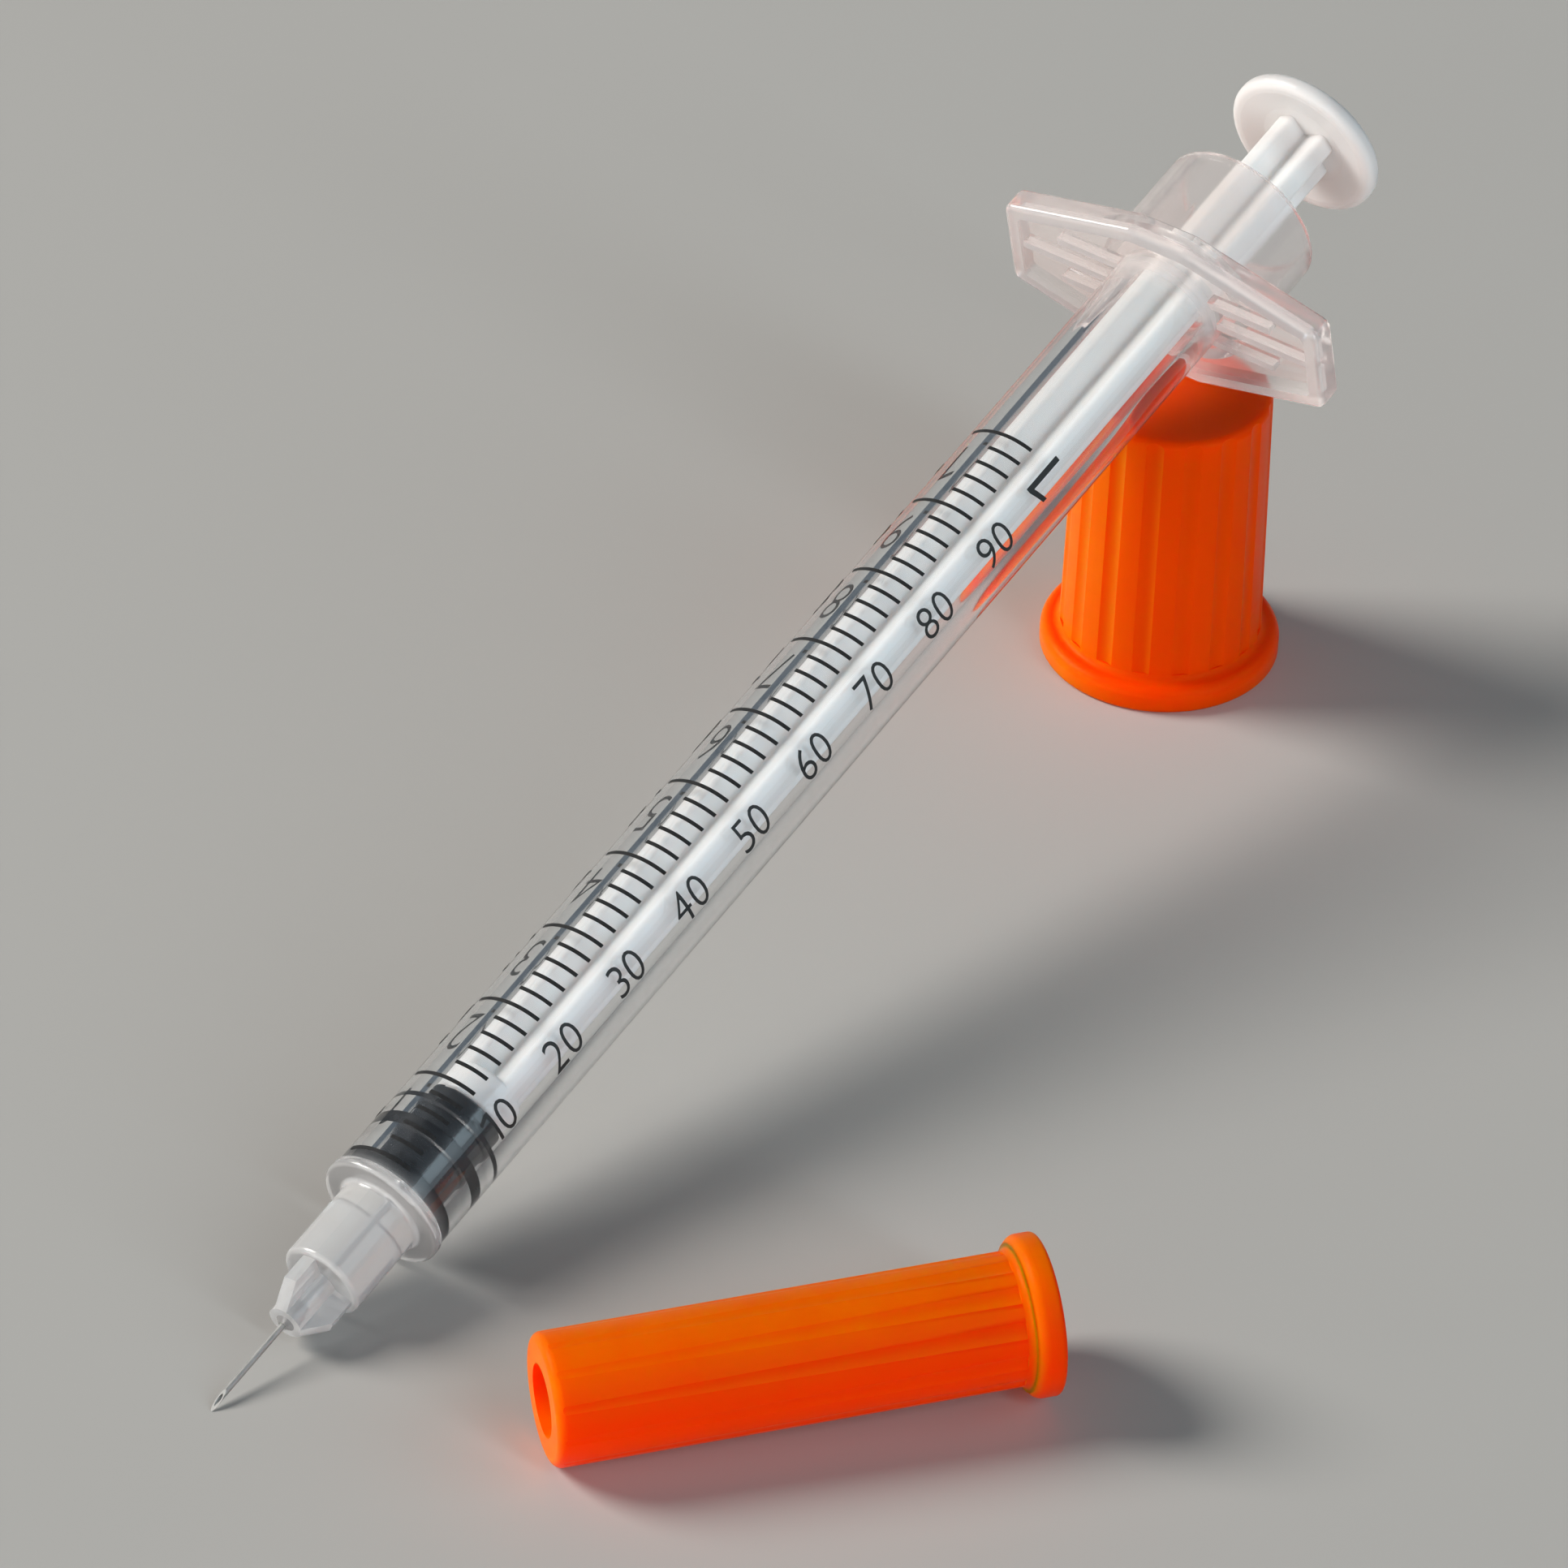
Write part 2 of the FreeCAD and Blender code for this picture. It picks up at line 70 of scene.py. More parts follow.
# Studio light: each softbox's direction from the object, its width and depth in degrees as seen from
# there, what it gives a surface that faces it (1 shows a colour as it is written), and its colour
LAMP_DISTANCE = 2.5
SOFTBOXES = {
    "key": (Vector((-0.512, 1.3, 1.0)), 25.0, 25.0, 0.96, (1.0, 0.972, 0.93)),
    "front": (Vector((-0.985, -0.02, 0.085)), 100.0, 9.0, 0.98, (1.0, 0.97, 0.945)),
    "side": (Vector((-0.12, -0.98, 0.085)), 100.0, 9.0, 1.04, (0.82, 0.93, 1.0)),
    "strip": (Vector((0.350, -0.745, 0.567)), 26.0, 32.0, 0.11, (0.72, 0.90, 1.0)),
}
WORLD_COLOR = (0.66, 0.83, 1.0)
WORLD_STRENGTH = 0.02
WORLD_SEEN = 0.13               # what glass and reflections see of the room around
BACKDROP_COLOR = (0.53, 0.52, 0.49)     # what the camera sees past the floor
FLOOR_COLOR = (0.530, 0.516, 0.492)
FLOOR_HALF = 1.5
FLOOR_BELOW = 0.01 * MM         # under what lies on it, so that no two faces share a plane

# The syringe's own frame: stations along its axis from the needle's tip
HUB_STATION = 12.0 * MM         # the hub mount's station
HUB_END = 14.6 * MM
TUBE_START = 15.8 * MM
TUBE_R = 3.415 * MM
FLANGE_START = 87.45 * MM
COLLAR_START = 89.65 * MM
ZERO_STATION = 16.0 * MM
SCALE_LENGTH = 57.0 * MM
SCALE_STEPS = 50
STEPS_PER_MAJOR = 5

# The clear plastic in the hub, the tube, the flange and the collar: the share of light that each
# surface scatters, its roughness, its colour, and what it takes from the lamps' light
HUB_MILK, TUBE_MILK, FLANGE_MILK, COLLAR_MILK = 0.38, 0.008, 0.30, 0.13
HUB_ROUGH, TUBE_ROUGH, FLANGE_ROUGH, COLLAR_ROUGH = 0.13, 0.035, 0.17, 0.12
HUB_TINT = (1.0, 0.99, 0.98)
TUBE_TINT = (0.99, 0.995, 1.0)
# Painted light: the flange's and collar's pink stands in for the orange caps' light bouncing onto them
FLANGE_PAINTED_GLOW = (1.0, 0.94, 0.925)
HUB_SHADE = (0.46, 0.48, 0.50)
FLANGE_SHADE = (0.95, 0.94, 0.93)
CLEAR_END = FLANGE_START - 0.9 * MM     # the tube is clear up to here
SHADE_END = 62.0 * MM           # from here to the flange the tube takes less of the lamps' light
STATION_SPAN = 0.1
DISC_SHADE_RAMP = (0.985, 0.999)      # where the thumb disc's painted shade begins and is full, as shares of STATION_SPAN

# Plastic's refraction, and the fine grain of moulded surfaces
PLASTIC_IOR = 1.49
GRAIN_SCALE = 2600.0
GRAIN_HEIGHT = 0.02 * MM

# Gasket, which touches the bore: stations of its ends and rings
BORE_R = 2.365 * MM
GASKET_WAIST_R = 2.18 * MM
GASKET_IN_WALL = 0.02 * MM
GASKET_ENDS = (15.6 * MM, 21.85 * MM)
GASKET_RINGS = ((15.6 * MM, 16.6 * MM), (18.35 * MM, 19.35 * MM), (20.35 * MM, 20.85 * MM))
GASKET_EDGE = 0.12 * MM
LATHE_STEPS = 96
SHARP_ANGLE = math.radians(40)

# Print on the barrel. Angles are from its upper side, positive towards the camera's right
PRINT_PROUD = 0.012 * MM
PRINT_THICKNESS = 0.02 * MM
LINE_WIDTH = 0.23 * MM
LINE_RIGHT = math.radians(25.7)
MAJOR_LEFT = math.radians(-45.2)
MINOR_LEFT = math.radians(-8.5)
PRINT_STEP = math.radians(2.5)
DIGIT_GAP = 0.16                # between two digits, as a share of their height
ONE_OUTLINE = ((0.0, 0.0), (0.115, 0.0), (0.115, 1.0), (0.01, 1.0),
               (-0.33, 0.86), (-0.33, 0.745), (0.0, 0.865))
# Each row of numbers: its angle, its digits' height, the font's thinning, and its shift from the line
TENTHS = (math.radians(-65.0), 2.76 * MM, -0.014, -1.63 * MM)
UNITS = (math.radians(58.0), 1.79 * MM, -0.010, 0.0)
ONE = (math.radians(56.0), 2.8 * MM, 0.0, -0.57 * MM)


def mount(name):
    """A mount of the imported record, by its name."""
    return next(m for m in frame["record"]["mounts"] if m["name"] == name)


AXIS = Vector(frame["joints"][0]["axis"]).normalized()
TIP = Vector(mount("hub")["pos_m"]) - AXIS * HUB_STATION
RIGHT = Vector((0.0, -1.0, 0.0))
UP = RIGHT.cross(AXIS).normalized()


def on_barrel(station, angle, radius):
    """The point at a station along the syringe, an angle from its upper side and a distance from the axis."""
    return TIP + AXIS * station + (UP * math.cos(angle) + RIGHT * math.sin(angle)) * radius


def add_object(name, mesh, material, body):
    """Links a mesh as a piece that rides on a body."""
    mesh.materials.append(material)
    piece = bpy.data.objects.new(name, mesh)
    bpy.context.scene.collection.objects.link(piece)
    if body:
        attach(piece, body)
    return piece


# ---------------------------------------------------------------- materials

class Shader:
    """A material's node tree, with short calls to add and join nodes."""

    def __init__(self, name):
        self.material = bpy.data.materials.new(name)
        self.material.use_nodes = True
        self.nodes = self.material.node_tree.nodes
        self.links = self.material.node_tree.links
        self.principled = self.nodes["Principled BSDF"]
        self.output = self.nodes["Material Output"]

    def add(self, kind, **values):
        node = self.nodes.new(kind)
        for key, value in values.items():
            setattr(node, key, value)
        return node

    def set(self, **values):
        for key, value in values.items():
            self.principled.inputs[key.replace("_", " ")].default_value = value

    def noise(self, scale, detail=2.0, roughness=0.5, stretch=(1.0, 1.0, 1.0)):
        """Noise over the piece's own place in metres."""
        place = self.add("ShaderNodeTexCoord")
        mapping = self.add("ShaderNodeMapping")
        mapping.inputs["Scale"].default_value = stretch
        self.links.new(place.outputs["Object"], mapping.inputs["Vector"])
        noise = self.add("ShaderNodeTexNoise")
        noise.inputs["Scale"].default_value = scale
        noise.inputs["Detail"].default_value = detail
        noise.inputs["Roughness"].default_value = roughness
        self.links.new(mapping.outputs["Vector"], noise.inputs["Vector"])
        return noise

    def ramp(self, source, stops):
        ramp = self.add("ShaderNodeValToRGB")
        for i, (place, color) in enumerate(stops):
            stop = ramp.color_ramp.elements[i] if i < 2 else ramp.color_ramp.elements.new(place)
            stop.position = place
            stop.color = (*color, 1.0)
        self.links.new(source, ramp.inputs["Fac"])
        return ramp

    def station(self):
        """The place along the syringe's axis: 0 at the needle's tip, 1 at STATION_SPAN."""
        place = self.add("ShaderNodeTexCoord")
        from_tip = self.add("ShaderNodeVectorMath", operation="SUBTRACT")
        from_tip.inputs[1].default_value = TIP
        self.links.new(place.outputs["Object"], from_tip.inputs[0])
        along = self.add("ShaderNodeVectorMath", operation="DOT_PRODUCT")
        along.inputs[1].default_value = AXIS
        self.links.new(from_tip.outputs["Vector"], along.inputs[0])
        station = self.add("ShaderNodeMapRange")
        station.inputs["From Max"].default_value = STATION_SPAN
        self.links.new(along.outputs["Value"], station.inputs["Value"])
        return station.outputs["Result"]

    def bump(self, source, strength, distance):
        bump = self.add("ShaderNodeBump")
        bump.inputs["Strength"].default_value = strength
        bump.inputs["Distance"].default_value = distance
        self.links.new(source, bump.inputs["Height"])
        self.links.new(bump.outputs["Normal"], self.principled.inputs["Normal"])

    def spread(self, source, low, high, socket):
        """Sends a 0 to 1 value to a socket of the shader, between low and high."""
        spread = self.add("ShaderNodeMapRange")
        spread.inputs["To Min"].default_value = low
        spread.inputs["To Max"].default_value = high
        self.links.new(source, spread.inputs["Value"])
        self.links.new(spread.outputs["Result"], self.principled.inputs[socket])


def moulded_plastic(name, low, high, rough, radius, depth, shine, tint, deep=None, disc=None):
    """A translucent moulded plastic with faint mottling and an uneven gloss.

    deep is painted shade: faces turned away from the key lamp are painted this redder colour, standing in for
    light that comes through the walls; with it come the lamp's direction and the cosines to it between which
    the colour changes. disc is painted shade too: the thumb disc, of the rod's own plastic, is painted this
    darker colour so that its lit rim stays below white."""
    shader = Shader(name)
    patch = shader.noise(260.0, 3.0, 0.55)
    color = shader.ramp(patch.outputs["Fac"], [(0.3, low), (0.7, high)]).outputs["Color"]
    # Painted shade: faces turned from the key lamp get a redder colour, standing in for light through the walls
    if deep:
        facing = shader.add("ShaderNodeVectorMath", operation="DOT_PRODUCT")
        shader.links.new(shader.add("ShaderNodeTexCoord").outputs["Normal"], facing.inputs[0])
        facing.inputs[1].default_value = deep[1].normalized()
        away = shader.add("ShaderNodeMapRange", interpolation_type="SMOOTHSTEP")
        away.inputs["From Min"].default_value = deep[2]
        away.inputs["From Max"].default_value = deep[3]
        shader.links.new(facing.outputs["Value"], away.inputs["Value"])
        through = shader.add("ShaderNodeMix", data_type="RGBA")
        shader.links.new(away.outputs["Result"], through.inputs["Factor"])
        shader.links.new(color, through.inputs["A"])
        through.inputs["B"].default_value = (*deep[0], 1.0)
        color = through.outputs["Result"]
    # Painted shade: the thumb disc is painted darker than the rod, though it is the same plastic
    if disc:
        at_disc = shader.add("ShaderNodeMix", data_type="RGBA")
        ends = shader.ramp(shader.station(), [(DISC_SHADE_RAMP[0], (0.0,) * 3), (DISC_SHADE_RAMP[1], (1.0,) * 3)])
        shader.links.new(ends.outputs["Color"], at_disc.inputs["Factor"])
        shader.links.new(color, at_disc.inputs["A"])
        at_disc.inputs["B"].default_value = (*disc, 1.0)
        color = at_disc.outputs["Result"]
    shader.links.new(color, shader.principled.inputs["Base Color"])
    grain = shader.noise(GRAIN_SCALE, 2.0)
    shader.spread(grain.outputs["Fac"], *rough, "Roughness")
    shader.bump(grain.outputs["Fac"], 0.12, GRAIN_HEIGHT)
    shader.set(IOR=PLASTIC_IOR, Subsurface_Weight=1.0, Subsurface_Scale=depth, Specular_IOR_Level=shine)
    shader.principled.inputs["Subsurface Radius"].default_value = radius
    shader.principled.inputs["Specular Tint"].default_value = (*tint, 1.0)
    return shader.material


def clear_plastic():
    """Clear moulded plastic that lets the lamps' light through. It is milkier in the hub and the flange, and in
    the flange and collar it is painted pink for the orange caps' bounced light.
    """
    shader = Shader("clear_plastic")
    shader.set(IOR=PLASTIC_IOR)
    station = shader.station()

    def by_region(hub, tube, flange, collar):
        stops = ((0.0, hub), (HUB_END, hub), (TUBE_START, tube), (CLEAR_END, tube),
                 (FLANGE_START, flange), (COLLAR_START, collar))
        return shader.ramp(station, [(at / STATION_SPAN, color) for at, color in stops])

    share = by_region(*((1.0 - milk,) * 3 for milk in (HUB_MILK, TUBE_MILK, FLANGE_MILK, COLLAR_MILK)))
    shader.links.new(share.outputs["Color"], shader.principled.inputs["Transmission Weight"])
    # In the flange and collar this colour is a painted pink glow of the orange caps' bounced light
    tint = by_region(HUB_TINT, TUBE_TINT, FLANGE_PAINTED_GLOW, FLANGE_PAINTED_GLOW)
    shader.links.new(tint.outputs["Color"], shader.principled.inputs["Base Color"])
    haze = by_region(*((rough,) * 3 for rough in (HUB_ROUGH, TUBE_ROUGH, FLANGE_ROUGH, COLLAR_ROUGH)))
    shader.links.new(haze.outputs["Color"], shader.principled.inputs["Roughness"])
    edge = shader.add("ShaderNodeLayerWeight")
    edge.inputs["Blend"].default_value = 0.35
    tube_shade = shader.ramp(edge.outputs["Facing"], [
        (0.0, (1.0, 1.0, 1.0)), (0.25, (0.98, 0.98, 0.98)),
        (0.6, (0.72, 0.73, 0.75)), (1.0, (0.4, 0.42, 0.45))])
    end_shade = by_region(HUB_SHADE, FLANGE_SHADE, FLANGE_SHADE, FLANGE_SHADE)
    is_tube = shader.ramp(station, [(HUB_END / STATION_SPAN, (0.0,) * 3),
                                    (TUBE_START / STATION_SPAN, (1.0,) * 3),
                                    (SHADE_END / STATION_SPAN, (1.0,) * 3),
                                    (FLANGE_START / STATION_SPAN, (0.0,) * 3)])
    shade = shader.add("ShaderNodeMix", data_type="RGBA")
    shader.links.new(is_tube.outputs["Color"], shade.inputs["Factor"])
    shader.links.new(end_shade.outputs["Color"], shade.inputs["A"])
    shader.links.new(tube_shade.outputs["Color"], shade.inputs["B"])
    clear = shader.add("ShaderNodeBsdfTransparent")
    shader.links.new(shade.outputs["Result"], clear.inputs["Color"])
    path = shader.add("ShaderNodeLightPath")
    bounced = shader.add("ShaderNodeMath", operation="MAXIMUM")
    shader.links.new(path.outputs["Is Shadow Ray"], bounced.inputs[0])
    shader.links.new(path.outputs["Is Diffuse Ray"], bounced.inputs[1])
    mix = shader.add("ShaderNodeMixShader")
    shader.links.new(bounced.outputs["Value"], mix.inputs["Fac"])
    shader.links.new(shader.principled.outputs["BSDF"], mix.inputs[1])
    shader.links.new(clear.outputs["BSDF"], mix.inputs[2])
    shader.links.new(mix.outputs["Shader"], shader.output.inputs["Surface"])
    return shader.material


def gasket_rubber():
    shader = Shader("gasket_rubber")
    grain = shader.noise(1800.0, 3.0)
    color = shader.ramp(grain.outputs["Fac"], [(0.3, (0.005, 0.006, 0.008)), (0.7, (0.010, 0.012, 0.015))])
    shader.links.new(color.outputs["Color"], shader.principled.inputs["Base Color"])
    shader.set(Specular_IOR_Level=0.8)
    shader.spread(grain.outputs["Fac"], 0.22, 0.30, "Roughness")
    shader.bump(grain.outputs["Fac"], 0.1, GRAIN_HEIGHT)
    return shader.material


def needle_steel():
    shader = Shader("needle_steel")
    drawn = shader.noise(9000.0, 2.0, 0.5, (0.05, 1.0, 1.0))
    color = shader.ramp(drawn.outputs["Fac"], [(0.3, (0.40, 0.395, 0.38)), (0.7, (0.50, 0.495, 0.48))])
    shader.links.new(color.outputs["Color"], shader.principled.inputs["Base Color"])
    shader.spread(drawn.outputs["Fac"], 0.6, 0.75, "Roughness")
    shader.set(Metallic=1.0)
    return shader.material


def adhesive():
    shader = Shader("adhesive")
    cloud = shader.noise(1500.0, 2.0)
    color = shader.ramp(cloud.outputs["Fac"], [(0.3, (0.46, 0.455, 0.45)), (0.7, (0.56, 0.555, 0.55))])
    shader.links.new(color.outputs["Color"], shader.principled.inputs["Base Color"])
    shader.spread(cloud.outputs["Fac"], 0.1, 0.2, "Roughness")
    shader.principled.inputs["Transmission Weight"].default_value = 0.6
    return shader.material


def print_ink():
    shader = Shader("print_ink")
    wear = shader.noise(5200.0, 3.0)
    color = shader.ramp(wear.outputs["Fac"], [(0.3, (0.008, 0.008, 0.008)), (0.75, (0.02, 0.02, 0.02))])
    shader.links.new(color.outputs["Color"], shader.principled.inputs["Base Color"])
    shader.spread(wear.outputs["Fac"], 0.35, 0.6, "Roughness")
    return shader.material


def floor_paint():
    shader = Shader("floor_paint")
    patch = shader.noise(18.0, 2.0)
    low = tuple(c * 0.99 for c in FLOOR_COLOR)
    high = tuple(c * 1.01 for c in FLOOR_COLOR)
    color = shader.ramp(patch.outputs["Fac"], [(0.3, low), (0.7, high)])
    shader.links.new(color.outputs["Color"], shader.principled.inputs["Base Color"])
    shader.set(Roughness=0.7)
    return shader.material


KEY_SIDE = SOFTBOXES["key"][0]
ORANGE_LOOK = ((0.97, 0.13, 0.0), (1.0, 0.16, 0.0), (0.32, 0.44),
               (1.0, 0.08, 0.02), 1.6 * MM, 0.10, (1.0, 0.5, 0.1))
# Painted shade on both oranges: faces turned from the key lamp are painted redder, standing in for light through
# the walls
SHIELD_ORANGE = moulded_plastic("orange_plastic_shield", *ORANGE_LOOK,
                                ((1.0, 0.040, 0.0), KEY_SIDE, 0.6, -0.4))
CAP_ORANGE = moulded_plastic("orange_plastic_cap", *ORANGE_LOOK,
                             ((1.0, 0.058, 0.0), Vector((KEY_SIDE.x, KEY_SIDE.y, 0.0)), 0.8, -0.1))
# Painted shade: the disc colour darkens the thumb disc so that its lit rim stays below white
WHITE = moulded_plastic("white_plastic", (0.91, 0.90, 0.89), (0.93, 0.92, 0.91), (0.28, 0.38),
                        (1.0, 0.92, 0.88), 0.9 * MM, 0.4, (1.0, 1.0, 1.0), disc=(0.77, 0.75, 0.74))
CLEAR = clear_plastic()
RUBBER = gasket_rubber()
STEEL = needle_steel()
GLUE = adhesive()
INK = print_ink()

NODE_LOOKS = {
    "barrel": CLEAR,
    "needle": STEEL,
    "needle_adhesive": GLUE,
    "gasket": RUBBER,
    "plunger_rod": WHITE,
    "plunger_cap": CAP_ORANGE,
    "needle_shield": SHIELD_ORANGE,
}
for node_name, look in NODE_LOOKS.items():
    node = frame["nodes"][node_name]
    for material_slot in node.material_slots:
        material_slot.material = look


# ---------------------------------------------------------------- gasket

def turned_piece(name, profile, material, body):
    """A smooth solid of revolution about the syringe's axis from (station, radius) corners."""
    work = bmesh.new()
    rings = []
    for station, radius in profile:
        if radius == 0:
            rings.append([work.verts.new(on_barrel(station, 0.0, 0.0))])
            continue
        turns = (2 * math.pi * i / LATHE_STEPS for i in range(LATHE_STEPS))
        rings.append([work.verts.new(on_barrel(station, turn, radius)) for turn in turns])
    for first, second in zip(rings, rings[1:]):
        for i in range(LATHE_STEPS):
            j = (i + 1) % LATHE_STEPS
            near = [first[k % len(first)] for k in (i, j)]
            far = [second[k % len(second)] for k in (j, i)]
            work.faces.new(list(dict.fromkeys(near + far)))
    bmesh.ops.recalc_face_normals(work, faces=work.faces)
    for face in work.faces:
        face.smooth = True
    mesh = bpy.data.meshes.new(name)
    work.to_mesh(mesh)
    work.free()
    mesh.set_sharp_from_angle(angle=SHARP_ANGLE)
    return add_object(name, mesh, material, body)


def add_gasket():
    """The gasket with its rings against the bore's wall, as the real one's are squeezed."""
    ring_r = BORE_R + GASKET_IN_WALL
    start, end = GASKET_ENDS
    profile = [(start, 0)]
    for low, high in GASKET_RINGS:
        if low > start:
            profile.append((low, GASKET_WAIST_R))
        profile += [(low, ring_r - GASKET_EDGE), (low + GASKET_EDGE, ring_r)]
        profile += [(high - GASKET_EDGE, ring_r), (high, ring_r - GASKET_EDGE), (high, GASKET_WAIST_R)]
    profile += [(end - GASKET_EDGE, GASKET_WAIST_R), (end, GASKET_WAIST_R - GASKET_EDGE), (end, 0)]
    gasket = turned_piece("gasket_seal", profile, RUBBER, "gasket")
    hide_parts("gasket")


add_gasket()


# ---------------------------------------------------------------- print on the barrel

def wrap_onto_barrel(mesh):
    """Bends a flat mesh (station, angle's arc, height) round the barrel."""
    for vertex in mesh.vertices:
        station, arc, height = vertex.co
        vertex.co = on_barrel(station, arc / TUBE_R, TUBE_R + PRINT_PROUD + height)
    mesh.update()


def printed_lines():
    """The scale's lines: thin strips that follow the barrel's outside."""
    work = bmesh.new()
    for k in range(SCALE_STEPS + 1):
        station = ZERO_STATION + SCALE_LENGTH * k / SCALE_STEPS
        left = MINOR_LEFT if k % STEPS_PER_MAJOR else MAJOR_LEFT
        count = max(2, round((LINE_RIGHT - left) / PRINT_STEP))
        rows = []
        for i in range(count + 1):
            arc = (left + (LINE_RIGHT - left) * i / count) * TUBE_R
            low, high = station - LINE_WIDTH / 2, station + LINE_WIDTH / 2
            corners = ((low, 0.0), (high, 0.0), (high, PRINT_THICKNESS), (low, PRINT_THICKNESS))
            rows.append([work.verts.new((s, arc, h)) for s, h in corners])
        for first, second in zip(rows, rows[1:]):
            for a in range(4):
                b = (a + 1) % 4
                work.faces.new((first[a], first[b], second[b], second[a]))
        work.faces.new(rows[0][::-1])
        work.faces.new(rows[-1])
    bmesh.ops.recalc_face_normals(work, faces=work.faces)
    mesh = bpy.data.meshes.new("scale_lines")
    work.to_mesh(mesh)
    work.free()
    wrap_onto_barrel(mesh)
    return add_object("scale_lines", mesh, INK, "barrel")


def drawn_one():
    """The digit one, with its flag, as a flat solid one unit high: the font's own has a foot."""
    work = bmesh.new()
    low = [work.verts.new((x, y, 0.0)) for x, y in ONE_OUTLINE]
    high = [work.verts.new((x, y, 0.02)) for x, y in ONE_OUTLINE]
    work.faces.new(low[::-1])
    work.faces.new(high)
    for i in range(len(low)):
        j = (i + 1) % len(low)
        work.faces.new((low[i], low[j], high[j], high[i]))
    mesh = bpy.data.meshes.new("one")
    work.to_mesh(mesh)
    work.free()
    return mesh


def font_digit(digit, weight):
    """A digit of the plain font as a flat solid."""
    curve = bpy.data.curves.new("number", "FONT")
    curve.body = digit
    curve.size = 1.0
    curve.offset = weight
    curve.extrude = 0.01
    curve.resolution_u = 4
    source = bpy.data.objects.new("number", curve)
    mesh = bpy.data.meshes.new_from_object(source)
    bpy.data.objects.remove(source)
    bpy.data.curves.remove(curve)
    return mesh


def flat_number(text, height, weight):
    """A plain number as a flat solid mesh, centred on the origin, of that height in metres."""
    work = bmesh.new()
    reach = 0.0
    for digit in text:
        mesh = drawn_one() if digit == "1" else font_digit(digit, weight)
        places = [[v.co[i] for v in mesh.vertices] for i in range(3)]
        spans = [(min(values), max(values)) for values in places]
        tall = spans[1][1] - spans[1][0]
        for vertex in mesh.vertices:
            x, y, z = ((vertex.co[i] - spans[i][0]) / tall for i in range(3))
            thick = z * tall / (spans[2][1] - spans[2][0]) * PRINT_THICKNESS
            vertex.co = ((x + reach) * height, (y - 0.5) * height, thick)
        reach += (spans[0][1] - spans[0][0]) / tall + DIGIT_GAP
        work.from_mesh(mesh)
        bpy.data.meshes.remove(mesh)
    for vertex in work.verts:
        vertex.co.x -= (reach - DIGIT_GAP) * height / 2
    mesh = bpy.data.meshes.new("number")
    work.to_mesh(mesh)
    work.free()
    return mesh


def printed_numbers(name, numbers, row, across):
    """A row of numbers, each at its station. across says that they are read across the axis."""
    angle, height, weight, shift = row
    work = bmesh.new()
    for text, line in numbers:
        station = line + shift
        mesh = flat_number(text, height, weight)
        for vertex in mesh.vertices:
            x, y, thick = vertex.co
            if across:
                vertex.co = (station - y, angle * TUBE_R - x, thick)
            else:
                vertex.co = (station + x, angle * TUBE_R - y, thick)
        work.from_mesh(mesh)
        bpy.data.meshes.remove(mesh)
    step = PRINT_STEP * TUBE_R
    arcs = [v.co.y for v in work.verts]
    cut = math.floor(min(arcs) / step) + 1
    while cut * step < max(arcs):
        everything = work.verts[:] + work.edges[:] + work.faces[:]
        bmesh.ops.bisect_plane(work, geom=everything, plane_co=(0, cut * step, 0), plane_no=(0, 1, 0))
        cut += 1
    bmesh.ops.remove_doubles(work, verts=work.verts, dist=1e-8)
    bmesh.ops.recalc_face_normals(work, faces=work.faces)
    mesh = bpy.data.meshes.new(name)
    work.to_mesh(mesh)
    work.free()
    wrap_onto_barrel(mesh)
    return add_object(name, mesh, INK, "barrel")


printed_lines()
major = SCALE_LENGTH * STEPS_PER_MAJOR / SCALE_STEPS
majors = SCALE_STEPS // STEPS_PER_MAJOR
tenths = [(str(k % majors or 1), ZERO_STATION + major * k) for k in range(1, majors + 1)]
units = [(str(10 * k), ZERO_STATION + major * k) for k in range(1, majors)]
printed_numbers("scale_tenths", tenths, TENTHS, True)
printed_numbers("scale_units", units, UNITS, False)
printed_numbers("scale_one", [("1", ZERO_STATION + SCALE_LENGTH)], ONE, True)


# ---------------------------------------------------------------- floor, light and camera

def add_floor():
    work = bmesh.new()
    bmesh.ops.create_grid(work, x_segments=1, y_segments=1, size=FLOOR_HALF)
    mesh = bpy.data.meshes.new("floor")
    work.to_mesh(mesh)
    work.free()
    floor = add_object("floor", mesh, floor_paint(), None)
    floor.location.z = -FLOOR_BELOW


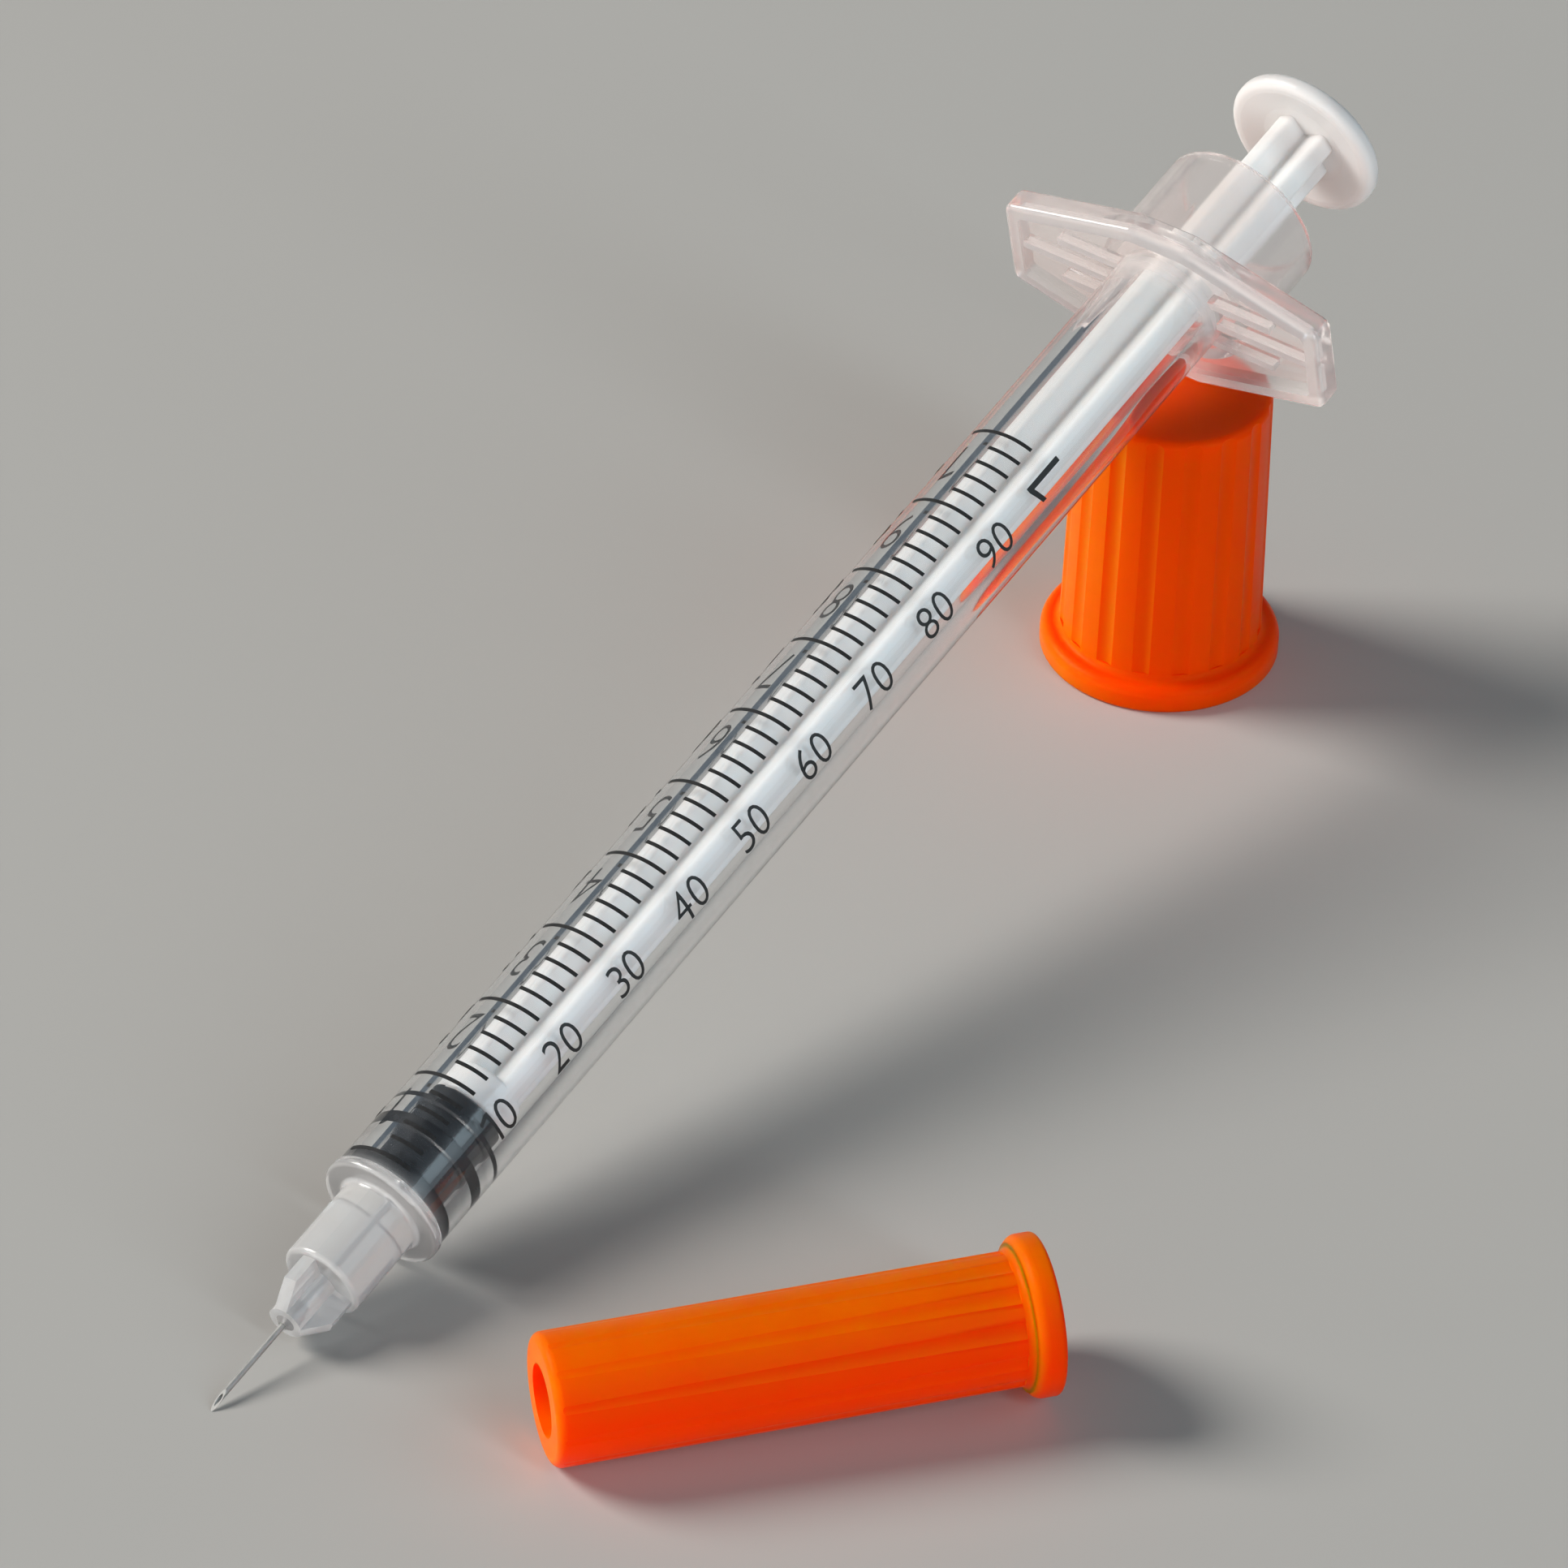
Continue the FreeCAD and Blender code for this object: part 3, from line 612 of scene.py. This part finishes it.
def add_lights():
    middle = (Vector(cad_box[0]) + Vector(cad_box[1])) / 2
    middle.z = 0.0
    for name, (toward, wide, deep, level, color) in SOFTBOXES.items():
        lamp = bpy.data.lights.new(name, "AREA")
        lamp.shape = "ELLIPSE" if wide == deep else "RECTANGLE"
        lamp.size = 2 * LAMP_DISTANCE * math.tan(math.radians(wide / 2))
        lamp.size_y = 2 * LAMP_DISTANCE * math.tan(math.radians(deep / 2))
        lamp.energy = level * (math.pi * LAMP_DISTANCE) ** 2
        lamp.color = color
        back = toward.normalized()
        side = AXIS.cross(back).normalized()
        softbox = bpy.data.objects.new(name, lamp)
        turn = Matrix((side, back.cross(side), back)).transposed().to_4x4()
        softbox.matrix_world = Matrix.Translation(middle + back * LAMP_DISTANCE) @ turn
        bpy.context.scene.collection.objects.link(softbox)


def add_world():
    """Dim room light, more of it in glass and reflections, and a pale backdrop for the camera alone."""
    world = bpy.data.worlds.new("studio")
    world.use_nodes = True
    background = world.node_tree.nodes["Background"]
    background.inputs["Color"].default_value = (*WORLD_COLOR, 1.0)
    nodes, links = world.node_tree.nodes, world.node_tree.links
    path = nodes.new("ShaderNodeLightPath")
    seen = nodes.new("ShaderNodeMath")
    seen.operation = "MAXIMUM"
    links.new(path.outputs["Is Glossy Ray"], seen.inputs[0])
    links.new(path.outputs["Is Transmission Ray"], seen.inputs[1])
    strength = nodes.new("ShaderNodeMapRange")
    strength.inputs["To Min"].default_value = WORLD_STRENGTH
    strength.inputs["To Max"].default_value = WORLD_SEEN
    links.new(seen.outputs["Value"], strength.inputs["Value"])
    links.new(strength.outputs["Result"], background.inputs["Strength"])
    backdrop = nodes.new("ShaderNodeBackground")
    backdrop.inputs["Color"].default_value = (*BACKDROP_COLOR, 1.0)
    mix = nodes.new("ShaderNodeMixShader")
    links.new(path.outputs["Is Camera Ray"], mix.inputs["Fac"])
    links.new(background.outputs["Background"], mix.inputs[1])
    links.new(backdrop.outputs["Background"], mix.inputs[2])
    links.new(mix.outputs["Shader"], nodes["World Output"].inputs["Surface"])
    bpy.context.scene.world = world


def add_camera():
    data = bpy.data.cameras.new("camera")
    data.sensor_width = SENSOR_MM
    data.lens = CAMERA_LENS_MM
    data.clip_start = 0.01
    data.clip_end = 10.0
    camera = bpy.data.objects.new("camera", data)
    turn = Matrix((CAMERA_RIGHT, -CAMERA_DOWN, -CAMERA_FORWARD)).transposed().to_4x4()
    camera.matrix_world = Matrix.Translation(CAMERA_AT) @ turn
    bpy.context.scene.collection.objects.link(camera)
    bpy.context.scene.camera = camera


add_floor()
add_lights()
add_world()
add_camera()
bpy.context.scene.view_settings.view_transform = "Standard"
